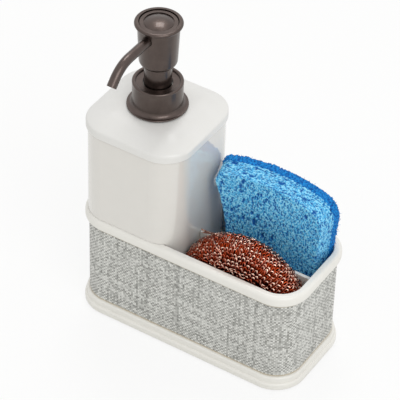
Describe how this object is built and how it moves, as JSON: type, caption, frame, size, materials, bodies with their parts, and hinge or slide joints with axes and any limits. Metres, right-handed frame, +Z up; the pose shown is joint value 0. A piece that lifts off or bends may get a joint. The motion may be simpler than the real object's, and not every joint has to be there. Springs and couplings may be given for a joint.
{
  "type": "soap pump caddy",
  "caption": "Sink caddy with a woven wrap that holds a square soap bottle with a lotion pump, a scrub sponge and a copper scrubber.",
  "frame": {"origin": "centre of the caddy's underside, on the surface it stands on", "axes": "+Z up, +X along the caddy from the bottle towards the open bays, -Y the front"},
  "size_m": [0.16, 0.0898, 0.2167],
  "materials": {
    "white_moulding": "satin moulded",
    "woven_wrap": "woven two-tone grey",
    "rubber_pad": "matte",
    "bottle_white": "gloss moulded",
    "lid_white": "satin moulded",
    "pump_bronze": "oil-rubbed bronze plating",
    "pump_plastic": "natural moulded",
    "dark_plastic": "dark moulded",
    "clear_tube": "translucent extruded",
    "soft_seal": "matte",
    "spring_steel": "drawn wire",
    "ball_steel": "polished",
    "sponge_blue": "open-cell cellulose",
    "scrub_blue": "abrasive fibre",
    "copper_knit": null
  },
  "bodies": {
    "caddy": {"base_plinth": "white_moulding", "rubber_feet": "rubber_pad", "tub": "white_moulding", "woven_band": "woven_wrap"},
    "bottle": {"bottle_body": "bottle_white", "bottle_lid": "lid_white"},
    "pump_core": {"gasket": "soft_seal", "pump_housing": "pump_plastic", "dip_tube": "clear_tube", "return_spring": "spring_steel", "stem_guide": "pump_bronze"},
    "closure": {"closure_ring": "dark_plastic", "collar_shell": "pump_bronze"},
    "valve_ball": {"inlet_ball": "ball_steel"},
    "plunger": {"piston_seal": "soft_seal"},
    "head": {"stem": "pump_plastic", "head_core": "dark_plastic", "head_shell": "pump_bronze", "head_cap": "pump_bronze", "spout": "pump_bronze"},
    "sponge": {"sponge_foam": "sponge_blue", "scrub_pad": "scrub_blue"},
    "scrubber": {"copper_scrubber": "copper_knit"}
  },
  "joints": [
    {"name": "bottle_lift", "type": "slide", "parent": "caddy", "child": "bottle", "axis": [0, 0, 1], "range_m": [0, 0.075]},
    {"name": "pump_lift", "type": "slide", "parent": "bottle", "child": "pump_core", "axis": [0, 0, 1], "range_m": [0, 0.16]},
    {"name": "closure_turn", "type": "hinge", "parent": "pump_core", "child": "closure", "pos_m": [-0.042, 0, 0.16], "axis": [0, 0, 1], "range_deg": [0, 540]},
    {"name": "ball_lift", "type": "slide", "parent": "pump_core", "child": "valve_ball", "axis": [0, 0, 1], "range_m": [0, 0.0017]},
    {"name": "head_press", "type": "slide", "parent": "pump_core", "child": "plunger", "axis": [0, 0, -1], "range_m": [0, 0.0115], "stiffness_N_per_m": 700, "springref_m": -0.012, "deforming": ["return_spring"]},
    {"name": "head_swivel", "type": "hinge", "parent": "plunger", "child": "head", "pos_m": [-0.042, 0, 0.19], "axis": [0, 0, 1], "continuous": true},
    {"name": "sponge_lift", "type": "slide", "parent": "caddy", "child": "sponge", "axis": [0, 0, 1], "range_m": [0, 0.075]},
    {"name": "scrubber_lift", "type": "slide", "parent": "caddy", "child": "scrubber", "axis": [0, 0, 1], "range_m": [0, 0.075]}
  ]
}
